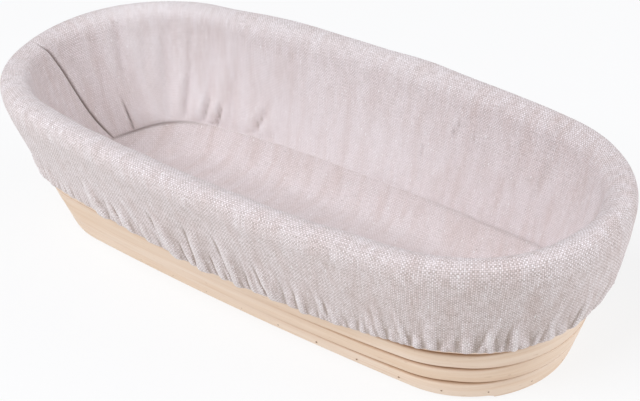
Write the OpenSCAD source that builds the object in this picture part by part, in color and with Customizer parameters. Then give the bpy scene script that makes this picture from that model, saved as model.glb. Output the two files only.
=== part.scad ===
// Oval proofing basket: flattened cane wound into a floor and a flared wall, held by brads,
// with a removable cloth liner whose gathered skirt is drawn in below the rim by elastic.
// Millimetres. X runs along the basket, Z is up, and the foot stands on z = 0.

/* [Basket] */
// Length of the foot, outside
foot_l = 296; // [284:1:304]
// Width of the foot, outside
foot_w = 100; // [98:1:106]
// Radius of the foot's rounded ends
foot_end_r = 47.5; // [45:0.5:48]
// Length of the rim, outside
rim_l = 345; // [336:1:354]
// Width of the rim, outside
rim_w = 155; // [148:1:160]
// Radius of the rim's rounded ends
rim_end_r = 70; // [66:0.5:72]
// Height of the cane wall
wall_h = 84.5; // [76:0.5:94]
// Outward bow of the wall at half its height
wall_bow = 1.7; // [0.5:0.1:3]

/* [Cane] */
// Number of turns of cane in the wall, with a tapered one at its foot and at its rim
wall_turns = 9; // [8:1:10]
// Number of turns of cane in the floor, with a tapered one inside and outside
floor_turns = 5; // [4:1:6]
// Width of the floor's straight core
core_w = 8; // [6:0.5:10]
// Gap between neighbouring turns
turn_gap = 0.6; // [0.5:0.05:0.9]
// Depth of the wall's cane, from its outer face to its inner face
wall_t = 8; // [7:0.5:8.5]
// Thickness of the floor's cane
floor_t = 8; // [7:0.5:8.5]
// Height of the floor's underside above the table
floor_lift = 0.6; // [0.5:0.1:1]
// How far each cane's edges are rounded back
cane_edge = 1.7; // [1:0.1:2.2]
// Thin end left where a cane is planed to a long taper
taper_end = 1.4; // [1.2:0.1:2]
// Steps round the oval to the start of the wall's cane, of 24 in a turn
wall_start = 2.4; // [0.4:0.1:6.4]

/* [Brads] */
// Diameter of a brad's shank
brad_d = 1.2; // [1:0.1:1.4]
// Diameter of a brad's head
brad_head_d = 1.8; // [1.6:0.1:2.6]
// Height of the foot brads above the table
foot_brad_z = 4.6; // [3.5:0.1:5]
// Length of a foot brad
foot_brad_l = 18; // [15:0.5:19]
// Number of brads round the foot
foot_brads_n = 32; // [16:1:36]
// Number of brads in each turn of the wall
wall_brads_n = 8; // [6:1:10]
// Number of brads in each turn of the floor
floor_brads_n = 6; // [4:1:8]

/* [Liner] */
// Thickness of the cloth
cloth_t = 0.8; // [0.7:0.1:1]
// Room between the cloth and the wall, inside
cloth_room = 1.7; // [1.4:0.1:2.2]
// Height of the liner's crest above the rim
crest_rise = 2.5; // [2:0.1:4]
// How far the liner's roll stands out beyond the wall at the rim
roll_out = 2.5; // [2.3:0.1:4]
// Height of the seam between the floor panel and the side strip
seam_z = 24; // [21:0.5:27]
// Height of the skirt's hem above the table, at the rounded ends
hem_z = 38; // [35:0.5:42]
// How much lower the hem hangs at the middle of the sides
hem_dip = 7.5; // [0:0.5:9]
// Number of main folds round the skirt
folds = 14; // [12:1:14]
// Depth of the skirt's main folds
fold_depth = 2; // [1:0.1:2.6]
// How far the folds lean along the skirt, in folds
fold_lean = 0.6; // [0:0.1:1]
// Width of the hem's casing
casing_w = 9; // [8:0.5:11]
// Width of the elastic
elastic_w = 5; // [4:0.5:6]
// Thickness of the elastic
elastic_t = 0.7; // [0.6:0.1:0.9]

/* [Hidden] */

// Steps in which each kind of arc is drawn: two end arcs and two side arcs make a turn
end_steps = 9;
side_steps = 3;
turn_steps = 2 * (end_steps + side_steps);
// Room round the elastic in its casing
casing_room = 0.35;
// Room between two neighbours that do not touch
clear = 0.5;
cane_colour = "#e6cfb2";
cloth_colour = "#d9cfc8";

// An oval of four arcs is given as half length, half width and end radius. The same amount added to
// all three offsets it. Its side radius and the half angle of its end arcs follow.
foot = [foot_l / 2, foot_w / 2, foot_end_r];
rim = [rim_l / 2, rim_w / 2, rim_end_r];
function side_r(o) = ((o[0] - o[2]) ^ 2 + o[1] ^ 2 - o[2] ^ 2) / (2 * (o[1] - o[2]));
function end_angle(o) = atan2(side_r(o) - o[1], o[0] - o[2]);

// Direction that an oval faces at step j, counted from the right end's near corner, and its point there
function facing(j, o) =
    let (t = end_angle(o), i = j - turn_steps * floor(j / turn_steps), half = turn_steps / 2,
        back = i >= half, k = back ? i - half : i, turned = back ? 180 : 0)
    k <= end_steps ? turned - t + 2 * t * k / end_steps
        : turned + t + (180 - 2 * t) * (k - end_steps) / side_steps;
function oval_point(j, o) =
    let (i = j - turn_steps * floor(j / turn_steps), half = turn_steps / 2, back = i >= half,
        k = back ? i - half : i, sign = back ? -1 : 1, f = facing(j, o), n = [cos(f), sin(f)], s = side_r(o))
    k <= end_steps ? [sign * (o[0] - o[2]), 0] + o[2] * n : [0, -sign * (s - o[1])] + s * n;
function at(p, z) = [p.x, p.y, z];

// Step reached after a share s of the way round, so that the cloth is divided evenly by length
belt = (foot + rim) / 2;
end_len = 2 * end_angle(belt) * PI / 180 * belt[2];
side_len = (180 - 2 * end_angle(belt)) * PI / 180 * side_r(belt);
half_way = end_len + side_len;
function step_at(s) =
    let (way = s * 2 * half_way, half = floor(way / half_way), w = way - half * half_way)
    half * turn_steps / 2 + (w < end_len ? end_steps * w / end_len
        : end_steps + side_steps * (w - end_len) / side_len);

// The wall's oval goes over from the foot's to the rim's. This one stands a distance outside the wall's outer
// face at a height, or inside it if out is negative.
function wall_oval(z, out) =
    let (t = min(z / wall_h, 1)) foot + t * (rim - foot) + (wall_bow * 4 * t * (1 - t) + out) * [1, 1, 1];
function wall_point(j, z, out = 0) = at(oval_point(j, wall_oval(z, out)), z);

// A winding of n turns that fills a space from lo to hi: what one turn takes, and the two edges of
// the cane after u turns. The first and last turns are planed to long tapers, which makes the space's
// two sides level.
function turn_pitch(n, lo, hi) = (hi - lo - 2 * taper_end - turn_gap) / (n - 1);
function cane_edges(u, n, lo, hi) =
    let (pitch = turn_pitch(n, lo, hi), edge = lo + taper_end + pitch * u)
    [u < 1 ? lo : edge - pitch + turn_gap, u > n - 1 ? hi : edge];

// Section of the wall's cane after u turns: flat above and below, rounded back at its two faces
wall_pitch = turn_pitch(wall_turns, 0, wall_h);
function wall_edges(u) = cane_edges(u, wall_turns, 0, wall_h);
function wall_step(u) = wall_start + u * turn_steps;
function wall_ring(u) =
    let (j = wall_step(u), e = wall_edges(u), low = e[0], high = e[1], mid = (low + high) / 2)
    [wall_point(j, high, -cane_edge), wall_point(j, mid), wall_point(j, low, -cane_edge),
        wall_point(j, low, cane_edge - wall_t), wall_point(j, mid, -wall_t),
        wall_point(j, high, cane_edge - wall_t)];

// The floor's cane is wound round the core, out to the wall, on ovals that shrink in proportion
function floor_oval(b) = [b + foot[0] - foot[1], b, b * foot[2] / foot[1]];
floor_lo = (core_w / 2 + turn_gap) * foot[1] / foot[2];
floor_hi = foot[1] - wall_t - clear;
floor_pitch = turn_pitch(floor_turns, floor_lo, floor_hi);
floor_top = floor_lift + floor_t;
function floor_edges(u) = cane_edges(u, floor_turns, floor_lo, floor_hi);
function floor_ring(u) =
    let (j = u * turn_steps, e = floor_edges(u), oval = floor_oval((e[0] + e[1]) / 2),
        half = (e[1] - e[0]) / 2, flat = half - min(cane_edge, half / 2), z = floor_lift + floor_t / 2,
        p = oval_point(j, oval), f = facing(j, oval), n = [cos(f), sin(f)])
    [at(p + flat * n, floor_top), at(p + half * n, z), at(p + flat * n, floor_lift),
        at(p - flat * n, floor_lift), at(p - half * n, z), at(p - flat * n, floor_top)];

// Faces of a tube of rings, closed on itself or capped at its two ends
function tube_faces(rings, sides, closed) =
    let (last = closed ? rings - 1 : rings - 2)
    concat(
        [for (i = [0 : last], k = [0 : sides - 1])
            let (a = i * sides, b = (i + 1) % rings * sides, m = (k + 1) % sides)
            each [[a + k, b + m, a + m], [a + k, b + k, b + m]]],
        closed ? [] : [for (k = [1 : sides - 2]) each [[0, k, k + 1],
            [0, k + 1, k] + (rings - 1) * sides * [1, 1, 1]]]);
module tube(rings, closed = false) {
    polyhedron([for (r = rings) each r], tube_faces(len(rings), len(rings[0]), closed));
}

// The wall is wound from two canes that meet end to end, half way up
splice = floor(wall_turns * turn_steps / 2);
splice_gap = turn_gap / (end_len / end_steps);
lower_rings = [for (k = [0 : splice]) wall_ring(k / turn_steps)];
upper_rings = [for (k = [splice : wall_turns * turn_steps])
    wall_ring((k == splice ? k + splice_gap : k) / turn_steps)];
floor_rings = [for (k = [0 : floor_turns * turn_steps]) floor_ring(k / turn_steps)];

// Least distance between each ring and the ring one turn further on
function ring_gap(a, b) = min([for (p = a, q = b) norm(p - q)]);
function least_gap(rings) =
    min([for (i = [1 : len(rings) - turn_steps - 2]) ring_gap(rings[i], rings[i + turn_steps])]);
echo(floor_cane_gap = least_gap(floor_rings), lower_wall_gap = least_gap(lower_rings),
    upper_wall_gap = least_gap(upper_rings));

// The cloth goes up the inside of the wall, over the rim and down the outside to its hem
slices = 4 * folds;
crest_z = wall_h + crest_rise;
shoulder_z = wall_h - 7;
roll_z = wall_h - 5;
skirt_room = 0.6;
slot_w = elastic_t + 2 * casing_room;
function hem_height(j) =
    let (reach = belt[0] - belt[2], x = oval_point(j, belt).x) hem_z - hem_dip * max(0, 1 - (x / reach) ^ 2);
// Swell of the skirt's folds at slice i, where drop is 0 at the rim and 1 at the hem
function fold(i, drop) = fold_depth * drop * (1 + cos(360 * (i / 4 + fold_lean * drop))) / 2;
// Points of the cloth's section, as distances outside the wall's outer face and heights
function cloth_ring(i) =
    let (j = step_at(i / slices), hem = hem_height(j), top = hem + casing_w, lip = top + 2,
        mid = (top + wall_h) / 2, crest = -wall_t / 2, in = -wall_t - cloth_room, roll = roll_out + 1.2,
        casing = skirt_room + fold(i, 1), slot = casing + cloth_t, lining = slot + slot_w,
        out_mid = skirt_room + cloth_t + fold(i, 0.7))
    [for (p = [
        [in - cloth_t, seam_z], [in - cloth_t, shoulder_z], [crest - 5, crest_z - 1.4], [crest, crest_z],
        [crest + 5, crest_z - 1.2], [roll, roll_z], [out_mid + cloth_t, mid], [lining + cloth_t, lip],
        [lining + cloth_t, hem], [casing, hem], [casing, top], [slot, top], [slot, hem + cloth_t],
        [lining, hem + cloth_t], [lining, lip], [out_mid, mid], [roll - cloth_t, roll_z],
        [clear, wall_h + clear], [-wall_t - clear, wall_h + clear], [in, shoulder_z], [in, seam_z]])
        wall_point(j, p.y, p.x)];

// The elastic lies in the casing, and follows the folds of the hem
function elastic_ring(i) =
    let (j = step_at(i / slices), low = hem_height(j) + cloth_t + casing_room,
        in = skirt_room + fold(i, 1) + cloth_t + casing_room, out = in + elastic_t)
    [for (p = [[in, low + elastic_w], [out, low + elastic_w], [out, low], [in, low]])
        wall_point(j, p.y, p.x)];

// The floor panel is a shallow dish that bends up along its edge and follows the wall to the seam.
// Its outline is given as distances outside the wall at the seam and heights.
panel_z = floor_top + clear;
panel_edge = -wall_t - cloth_room - cloth_t;
panel_bend = 10;
panel_outline = [[panel_edge, seam_z - clear], [panel_edge - panel_bend / 2, panel_z + 2 * cloth_t],
    [panel_edge - panel_bend, panel_z + cloth_t], [-foot_end_r, panel_z + cloth_t]];
function panel_point(j, p, drop) = at(oval_point(j, wall_oval(seam_z, p.x)), p.y - drop);
function panel_ring(i) =
    let (j = step_at(i / slices), last = len(panel_outline) - 1)
    concat([for (p = panel_outline) panel_point(j, p, 0)],
        [for (k = [last : -1 : 0]) panel_point(j, panel_outline[k], cloth_t)]);

module brad(length) {
    cylinder(d = brad_d, h = length, $fn = 8);
}

module floor_core() {
    straight = floor_oval(floor_lo)[0] - turn_gap - core_w / 2;
    color(cane_colour) translate([0, 0, floor_lift]) linear_extrude(floor_t) union() {
        square([2 * straight, core_w], center = true);
        for (side = [-1, 1]) translate([side * straight, 0]) circle(core_w / 2, $fn = 48);
    }
}
module floor_cane() {
    color(cane_colour) tube(floor_rings);
}
module lower_wall_cane() {
    color(cane_colour) tube(lower_rings);
}
module upper_wall_cane() {
    color(cane_colour) tube(upper_rings);
}
// Brads that join each turn of the floor to the one inside it, above the foot's brads
module floor_brads() {
    color("silver") for (u = [0.5 : 1 / floor_brads_n : floor_turns - 1.1]) {
        v = u + 0.5 / floor_brads_n * (floor(u) % 2);
        j = v * turn_steps;
        oval = floor_oval(floor_edges(v)[1] - clear);
        translate(at(oval_point(j, oval), floor_lift + floor_t * 0.7))
            rotate([0, -90, facing(j, oval)]) brad(floor_pitch * 0.95);
    }
}
// Brads driven through the foot into the floor, with their heads showing low on the wall
module foot_brads() {
    color("dimgray") for (k = [0 : foot_brads_n - 1]) {
        j = step_at((k + 0.75) / foot_brads_n);
        translate(wall_point(j, foot_brad_z)) rotate([0, -90, facing(j, foot)]) {
            brad(foot_brad_l);
            cylinder(d = brad_head_d, h = 0.6, $fn = 24);
        }
    }
}
// Brads driven down through each turn of the wall into the turn below it
module wall_brads() {
    color("silver") for (u = [1.2 : 1 / wall_brads_n : wall_turns - 0.7]) {
        v = u + 0.5 / wall_brads_n * (floor(u) % 2);
        joint_z = wall_edges(v)[0];
        tip_z = max(foot_brad_z + brad_d, joint_z - wall_pitch / 2);
        translate(at(wall_point(wall_step(v), joint_z, -wall_t / 2), tip_z))
            brad(min(joint_z + wall_pitch / 2, wall_h - clear) - tip_z);
    }
}
module liner_floor() {
    color(cloth_colour) polyhedron(
        concat([for (i = [0 : slices - 1]) each panel_ring(i)], [[0, 0, panel_z + cloth_t], [0, 0, panel_z]]),
        let (sides = 2 * len(panel_outline), inner = len(panel_outline) - 1)
        [for (i = [0 : slices - 1])
            let (n = (i + 1) % slices, a = i * sides, b = n * sides)
            each concat(
                [for (k = [0 : sides - 1]) if (k != inner)
                    let (m = (k + 1) % sides)
                    each [[a + k, a + m, b + m], [a + k, b + m, b + k]]],
                [[a + inner, slices * sides, b + inner],
                    [a + inner + 1, b + inner + 1, slices * sides + 1]])]);
}
module liner_side() {
    color(cloth_colour) tube([for (i = [0 : slices - 1]) cloth_ring(i)], closed = true);
}
module hem_elastic() {
    color("ivory") tube([for (i = [0 : slices - 1]) elastic_ring(i)], closed = true);
}

floor_core();
floor_cane();
lower_wall_cane();
upper_wall_cane();
floor_brads();
foot_brads();
wall_brads();
liner_floor();
liner_side();
hem_elastic();
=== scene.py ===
import math

import bmesh
import bpy
import numpy as np
from mathutils import Matrix, Vector


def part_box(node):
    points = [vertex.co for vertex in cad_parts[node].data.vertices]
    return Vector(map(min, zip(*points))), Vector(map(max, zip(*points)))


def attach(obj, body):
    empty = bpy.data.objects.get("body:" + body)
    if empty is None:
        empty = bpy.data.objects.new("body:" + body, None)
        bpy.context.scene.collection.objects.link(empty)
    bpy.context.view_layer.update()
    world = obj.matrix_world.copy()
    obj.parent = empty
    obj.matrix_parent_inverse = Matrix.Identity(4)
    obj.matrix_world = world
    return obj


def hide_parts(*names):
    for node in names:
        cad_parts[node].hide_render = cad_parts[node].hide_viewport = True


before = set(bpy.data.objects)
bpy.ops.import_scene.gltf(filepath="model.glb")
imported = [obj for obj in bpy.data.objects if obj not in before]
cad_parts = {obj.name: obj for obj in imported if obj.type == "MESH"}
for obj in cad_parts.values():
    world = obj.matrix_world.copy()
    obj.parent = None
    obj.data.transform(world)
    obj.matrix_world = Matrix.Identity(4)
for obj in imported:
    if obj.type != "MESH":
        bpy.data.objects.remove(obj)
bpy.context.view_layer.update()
print("frame loaded:", ", ".join(sorted(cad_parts)))

# Lengths are in mm until a mesh is made
mm = 0.001

# The basket as the frame holds it: its wall goes over from the foot's oval to the rim's and bows a little.
# An oval of four arcs is half length, half width and end radius; the same added to all three offsets it.
basket = {"foot": (148, 50, 47.5), "rim": (172.5, 77.5, 70), "bow": 1.7, "wallDepth": 8}
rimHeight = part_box("upper_wall_cane")[1].z / mm
floorUnder, floorTop = (corner.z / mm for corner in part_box("floor_cane"))
stepsInTurn, stepsInHalf, stepsInEnd = 24, 12, 9


def ovalArcs(oval):
    halfLength, halfWidth, endRadius = oval
    straight = halfLength - endRadius
    sideRadius = (straight ** 2 + halfWidth ** 2 - endRadius ** 2) / (2 * (halfWidth - endRadius))
    return sideRadius, np.arctan2(sideRadius - halfWidth, straight)


# Where a step round an oval lies, and the direction that it faces there.
# Steps are counted from the right end's near corner, 9 to an end arc and 3 to a side arc.
def ovalAt(step, oval):
    halfLength, halfWidth, endRadius = oval
    sideRadius, endAngle = ovalArcs(oval)
    half, part = np.divmod(step, stepsInHalf)
    atEnd = part <= stepsInEnd
    onEnd = endAngle * (2 * part / stepsInEnd - 1)
    onSide = endAngle + (math.pi - 2 * endAngle) * (part - stepsInEnd) / (stepsInHalf - stepsInEnd)
    facing = np.where(atEnd, onEnd, onSide) + math.pi * half
    side = 1 - 2 * (half % 2)
    radius = np.where(atEnd, endRadius, sideRadius)
    x = np.where(atEnd, side * (halfLength - endRadius), 0) + radius * np.cos(facing)
    y = np.where(atEnd, 0, side * (halfWidth - sideRadius)) + radius * np.sin(facing)
    return x, y, facing


# Oval that stands a distance outside the wall's outer face at a height
def wallOval(z, out):
    rise = z / rimHeight
    grow = basket["bow"] * 4 * rise * (1 - rise) + out
    return [foot + rise * (rim - foot) + grow for foot, rim in zip(basket["foot"], basket["rim"])]


# Arc lengths half way up the wall turn a share of the way round into a step
belt = [(foot + rim) / 2 for foot, rim in zip(basket["foot"], basket["rim"])]
beltSide, beltAngle = ovalArcs(belt)
endLength = 2 * beltAngle * belt[2]
sideLength = (math.pi - 2 * beltAngle) * beltSide
wayRound = 2 * (endLength + sideLength)
shareKnots = np.cumsum([0, endLength, sideLength, endLength, sideLength]) / wayRound
stepKnots = [0, stepsInEnd, stepsInHalf, stepsInHalf + stepsInEnd, stepsInTurn]


def stepAt(share):
    return np.interp(share % 1, shareKnots, stepKnots)


def shareAt(step):
    return np.interp(step % stepsInTurn, stepKnots, shareKnots)


def ease(x):
    x = np.clip(x, 0, 1)
    return x * x * (3 - 2 * x)


# Sum of smooth bumps along a line, each a height, a middle and a width
def bumps(along, profile):
    return sum(height * np.exp(-((along - middle) / width) ** 2) for height, middle, width in profile)


# Values that change round the oval are lists of (share, value) pairs, with the corners between them rounded
# off over a small share
cornerShare, cornerSamples = 0.02, 9


def roundValue(share, pairs):
    knots, values = zip(*pairs)
    shifts = np.linspace(-cornerShare, cornerShare, cornerSamples)
    return np.mean([np.interp(share + shift, knots, values, period=1) for shift in shifts], 0)


# Lengths along a line of points
def wayAlong(points):
    return np.concatenate([[0], np.cumsum(np.linalg.norm(np.diff(points, axis=0), axis=1))])


# Smooth random field of unit strength that wraps round, with its grain given in rows and columns
def softNoise(rows, columns, grain, seed):
    white = np.random.default_rng(seed).standard_normal((rows, columns))
    down, across = np.fft.fftfreq(rows)[:, None], np.fft.rfftfreq(columns)[None]
    kept = np.exp(-2 * math.pi ** 2 * ((down * grain[0]) ** 2 + (across * grain[1]) ** 2))
    field = np.fft.irfft2(np.fft.rfft2(white) * kept, (rows, columns))
    return field / field.std()


# A smooth piece from points in mm
def addPiece(name, points, faces):
    mesh = bpy.data.meshes.new(name)
    mesh.from_pydata((np.reshape(points, (-1, 3)) * mm).tolist(), [], faces)
    mesh.polygons.foreach_set("use_smooth", [True] * len(mesh.polygons))
    mesh.update()
    piece = bpy.data.objects.new(name, mesh)
    bpy.context.scene.collection.objects.link(piece)
    return piece


# A mesh of rows and columns of points, with cut the pattern's place across the columns and down the rows.
# Where they close on themselves, turnRows and turnColumns say how far the pattern runs on. The first and the
# last row can be closed with a face. Marks are values at the points that a material reads.
def gridPiece(name, points, cut, turnRows=None, turnColumns=None, capFirst=False, capLast=False, marks=None):
    rows, columns = points.shape[:2]
    lastRow, lastColumn = rows - (turnRows is None), columns - (turnColumns is None)
    r, c = (index.ravel() for index in np.meshgrid(np.arange(lastRow), np.arange(lastColumn), indexing="ij"))
    corners = [(r, c), (r + 1, c), (r + 1, c + 1), (r, c + 1)]
    faces = np.stack([(a % rows) * columns + b % columns for a, b in corners], 1).tolist()
    pattern = np.stack([cut[a % rows, b % columns] for a, b in corners], 1)
    pattern[..., 0] += np.stack([b // columns for a, b in corners], 1) * (turnColumns or 0)
    pattern[..., 1] += np.stack([a // rows for a, b in corners], 1) * (turnRows or 0)
    pattern = pattern.reshape(-1, 2)
    if capFirst:
        faces.append(list(range(columns)))
        pattern = np.concatenate([pattern, cut[0]])
    if capLast:
        faces.append(list(range((rows - 1) * columns, rows * columns))[::-1])
        pattern = np.concatenate([pattern, cut[-1][::-1]])
    piece = addPiece(name, points, faces)
    cutLayer = piece.data.uv_layers.new(name="cut")
    cutLayer.data.foreach_set("uv", (pattern * mm).astype(np.float32).ravel())
    for mark, values in (marks or {}).items():
        layer = piece.data.attributes.new(mark, "FLOAT", "POINT")
        layer.data.foreach_set("value", np.broadcast_to(values, (rows, columns)).astype(np.float32).ravel())
    return piece


# Faces of a tube, from the number of its first point
def tubeFaces(first, rings, sides):
    faces = []
    for r in range(rings - 1):
        a, b = first + r * sides, first + (r + 1) * sides
        for c in range(sides):
            n = (c + 1) % sides
            faces.append((a + c, b + c, b + n, a + n))
    return faces


# Turns a closed piece's faces outward, with points nearer than some mm joined first
def faceOutward(piece, joined=0):
    work = bmesh.new()
    work.from_mesh(piece.data)
    if joined:
        bmesh.ops.remove_doubles(work, verts=work.verts, dist=joined * mm)
    bmesh.ops.recalc_face_normals(work, faces=work.faces)
    work.to_mesh(piece.data)
    work.free()


# An sRGB colour as the linear values that Blender works with
def toLinear(hexColour):
    channels = [int(hexColour[i:i + 2], 16) / 255 for i in (1, 3, 5)]
    return [c / 12.92 if c <= 0.04045 else ((c + 0.055) / 1.055) ** 2.4 for c in channels] + [1]


# Adds a node with its settings, values and links, and gives its outputs
def addNode(tree, kind, links=None, **settings):
    node = tree.nodes.new("ShaderNode" + kind)
    for setting, value in settings.items():
        setattr(node, setting, value)
    for socket, value in (links or {}).items():
        if isinstance(value, bpy.types.NodeSocket):
            tree.links.new(value, node.inputs[socket])
        else:
            node.inputs[socket].default_value = value
    return node.outputs


# A grain is its width and length in mm, the detail of its noise, the two levels of the noise between which
# it comes up, and how much it shows then
def grainNoise(tree, place, width, length, detail, low, high, most):
    scale = (1 / (width * mm), 1 / (length * mm), 0)
    grainAt = addNode(tree, "VectorMath", {0: place, 1: scale}, operation="MULTIPLY")[0]
    noise = addNode(tree, "TexNoise", {"Vector": grainAt, "Scale": 1, "Detail": detail})[0]
    return noise, addNode(tree, "MapRange", {0: noise, 1: low, 2: high, 4: most})[0]


def startMaterial(name):
    material = bpy.data.materials.new(name)
    material.use_nodes = True
    material.node_tree.nodes.clear()
    return material, material.node_tree


# Ends a material with its surface. Where that has relief, look says how high it is in mm and how it shows.
def addSurface(tree, look, values, heights=None):
    if heights is not None:
        relief = {"Strength": look["relief"], "Distance": look["height"] * mm, "Height": heights}
        values["Normal"] = addNode(tree, "Bump", relief)[0]
    shader = addNode(tree, "BsdfPrincipled", values)
    addNode(tree, "OutputMaterial", {"Surface": shader[0]})


# Rattan core, peeled, wound damp and sanded: pale straw with fine lengthwise fibres and short open pores,
# slow changes of tone along the rod, and brown painted shade in the grooves between the turns
rattan = {"pale": "#efdbc8", "tone": "#e7ccb1", "fibre": "#d8b491", "pore": "#bb9673", "groove": "#b48a66",
          "grains": {"tone": (9, 130, 2, 0.3, 0.7, 1), "fibre": (0.6, 50, 2, 0.45, 0.75, 0.5),
                     "pore": (0.4, 7, 2, 0.66, 0.74, 0.45)},
          "roughLevels": (0.3, 0.7, 0.43, 0.58), "specular": 0.4, "height": 0.05, "relief": 0.5}


def rattanMaterial():
    material, tree = startMaterial("Rattan core, peeled and sanded")
    cut = addNode(tree, "UVMap", uv_map="cut")[0]
    noises, shares = {}, {}
    for part, grain in rattan["grains"].items():
        noises[part], shares[part] = grainNoise(tree, cut, *grain)
    # Painted shade in the grooves between the turns, read from the groove mark
    shares["groove"] = addNode(tree, "Attribute", attribute_name="groove")["Fac"]
    colour = toLinear(rattan["pale"])
    for part, share in shares.items():
        colour = addNode(tree, "Mix", {0: share, 6: colour, 7: toLinear(rattan[part])}, data_type="RGBA")[2]
    low, high, smoothest, roughest = rattan["roughLevels"]
    rough = addNode(tree, "MapRange", {0: noises["fibre"], 1: low, 2: high, 3: smoothest, 4: roughest})[0]
    addSurface(tree, rattan, {"Base Color": colour, "Roughness": rough,
                              "Specular IOR Level": rattan["specular"]}, noises["fibre"])
    return material


# Linen and cotton cloth, plain woven and washed: a light cotton warp over a greyer linen weft. Uneven threads
# give it a fine grain and faint brownish bands, with slubs and the odd dark fleck; it is dry and matt. Inside
# it is worn smooth and floury. Painted shade darkens the gaps between the threads, the valleys of its folds,
# its seams and creases, the skirt towards the hem and the floor panel; painted highlight lightens the ridges
# of its folds, and painted light some stretches round the oval.
# Its threads are drawn at 0.85 mm, a third coarser than real ones, because finer ones vanish at picture size.
linen = {"warpLight": "#fdf5f6", "warpDark": "#dbcdca", "weftLight": "#e8dcda", "weftDark": "#beb0aa",
         "holeShade": "#84766f", "worn": "#ece2e1", "streak": "#e4d6ce", "slub": "#fcf9f8", "fleck": "#65574f",
         "valley": "#87735f", "ridge": "#fcf9f8", "seam": "#75655d",
         "spacing": 0.85, "threadRound": 0.5, "threadEdge": 0.3, "warpLength": 7, "weftLength": 5,
         "threadTones": (2, 0.36, 0.66, 1), "strays": ((12, 0.5), (2.5, 0.25)),
         "holeLevels": (0.1, 0.65, 0.6), "height": 0.2, "relief": 0.6, "slubHeight": 0.6,
         "grains": {"streak": (7, 30, 3, 0.42, 0.7, 0.36), "slub": (0.8, 2.5, 0, 0.77, 0.81, 0.8),
                    "fleck": (1, 1, 0, 0.86, 0.885, 0.8)},
         "valleyShade": 0.5, "ridgeLight": 0.3, "roughness": 0.93, "specular": 0.2, "sheen": 0.15,
         "sheenSpread": 0.5}


def linenMaterial():
    material, tree = startMaterial("Linen and cotton, plain woven")
    cut = addNode(tree, "UVMap", uv_map="cut")[0]
    # Threads stray from their lines by some mm, over a length in mm
    strand = cut
    for length, stray in linen["strays"]:
        noise = addNode(tree, "TexNoise", {"Vector": cut, "Scale": 1 / (length * mm), "Detail": 1})
        strand = addNode(tree, "VectorMath", {0: noise[1], 1: (stray * mm, stray * mm, 0), 2: strand},
                         operation="MULTIPLY_ADD")[0]
    spacing = linen["spacing"]
    turns = math.pi / (spacing * mm)
    phase = addNode(tree, "VectorMath", {0: strand, 1: (turns, turns, 0)}, operation="MULTIPLY")[0]
    waves = addNode(tree, "VectorMath", {0: phase}, operation="SINE")[0]
    crossing = addNode(tree, "SeparateXYZ", {0: waves})
    over = addNode(tree, "Math", {0: crossing[0], 1: crossing[1]}, operation="MULTIPLY")[0]
    size = addNode(tree, "Math", {0: over}, operation="ABSOLUTE")[0]
    height = addNode(tree, "Math", {0: size, 1: linen["threadRound"]}, operation="POWER")[0]
    weftShare = addNode(tree, "MapRange", {0: over, 1: -linen["threadEdge"], 2: linen["threadEdge"]})[0]
    # Each thread has its own tone along its length
    tones = {}
    for part, extent in (("warp", (spacing, linen["warpLength"])), ("weft", (linen["weftLength"], spacing))):
        share = grainNoise(tree, strand, *extent, *linen["threadTones"])[1]
        tones[part] = addNode(tree, "Mix", {0: share, 6: toLinear(linen[part + "Light"]),
                                            7: toLinear(linen[part + "Dark"])}, data_type="RGBA")[2]
    colour = addNode(tree, "Mix", {0: weftShare, 6: tones["warp"], 7: tones["weft"]}, data_type="RGBA")[2]
    # Where the threads dip between crossings, painted shade darkens the cloth
    low, high, most = linen["holeLevels"]
    shares = {"holeShade": addNode(tree, "MapRange", {0: height, 1: low, 2: high, 3: most, 4: 0})[0],
              "worn": addNode(tree, "Attribute", attribute_name="worn")["Fac"]}
    for part, grain in linen["grains"].items():
        shares[part] = grainNoise(tree, cut, *grain)[1]
    # Painted shade in the valleys of folds and painted highlight on their ridges, from the fold mark
    fold = addNode(tree, "Attribute", attribute_name="fold")["Fac"]
    for part, side, most in (("valley", -1, linen["valleyShade"]), ("ridge", 1, linen["ridgeLight"])):
        shares[part] = addNode(tree, "MapRange", {0: fold, 1: 0, 2: side, 4: most})[0]
    # Painted shade along seams and creases, from the seam mark
    shares["seam"] = addNode(tree, "Attribute", attribute_name="seam")["Fac"]
    for part, share in shares.items():
        colour = addNode(tree, "Mix", {0: share, 6: colour, 7: toLinear(linen[part])}, data_type="RGBA",
                         blend_type="MULTIPLY" if part == "streak" else "MIX")[2]
    slubs = {0: shares["slub"], 1: linen["slubHeight"], 2: height}
    raised = addNode(tree, "Math", slubs, operation="MULTIPLY_ADD")[0]
    addSurface(tree, linen, {"Base Color": colour, "Roughness": linen["roughness"],
                             "Specular IOR Level": linen["specular"], "Sheen Weight": linen["sheen"],
                             "Sheen Roughness": linen["sheenSpread"]}, raised)
    return material


# Steel wire, drawn and darkened: dull brown with a little rust
steel = {"dark": "#9a8370", "rust": "#ab8a64", "rustSize": 0.8, "rustLevels": (0.45, 0.7, 0.7),
         "smoothest": 0.4, "roughest": 0.75, "metal": 0.4}


def steelMaterial():
    material, tree = startMaterial("Steel wire, drawn and darkened")
    place = addNode(tree, "TexCoord")["Object"]
    rustScale = 1 / (steel["rustSize"] * mm)
    patch = addNode(tree, "TexNoise", {"Vector": place, "Scale": rustScale, "Detail": 3})[0]
    low, high, most = steel["rustLevels"]
    share = addNode(tree, "MapRange", {0: patch, 1: low, 2: high, 4: most})[0]
    colour = addNode(tree, "Mix", {0: share, 6: toLinear(steel["dark"]), 7: toLinear(steel["rust"])},
                     data_type="RGBA")[2]
    rough = addNode(tree, "MapRange", {0: patch, 3: steel["smoothest"], 4: steel["roughest"]})[0]
    addSurface(tree, steel, {"Base Color": colour, "Roughness": rough, "Metallic": steel["metal"]})
    return material


# Elastic, woven from rubber and cotton: off-white, matt, with a rib every 1.2 mm along it
elastic = {"white": "#e9e4dc", "shade": "#c4bcb1", "rib": 1.2, "height": 0.15, "relief": 0.6,
           "roughness": 0.85}


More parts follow.
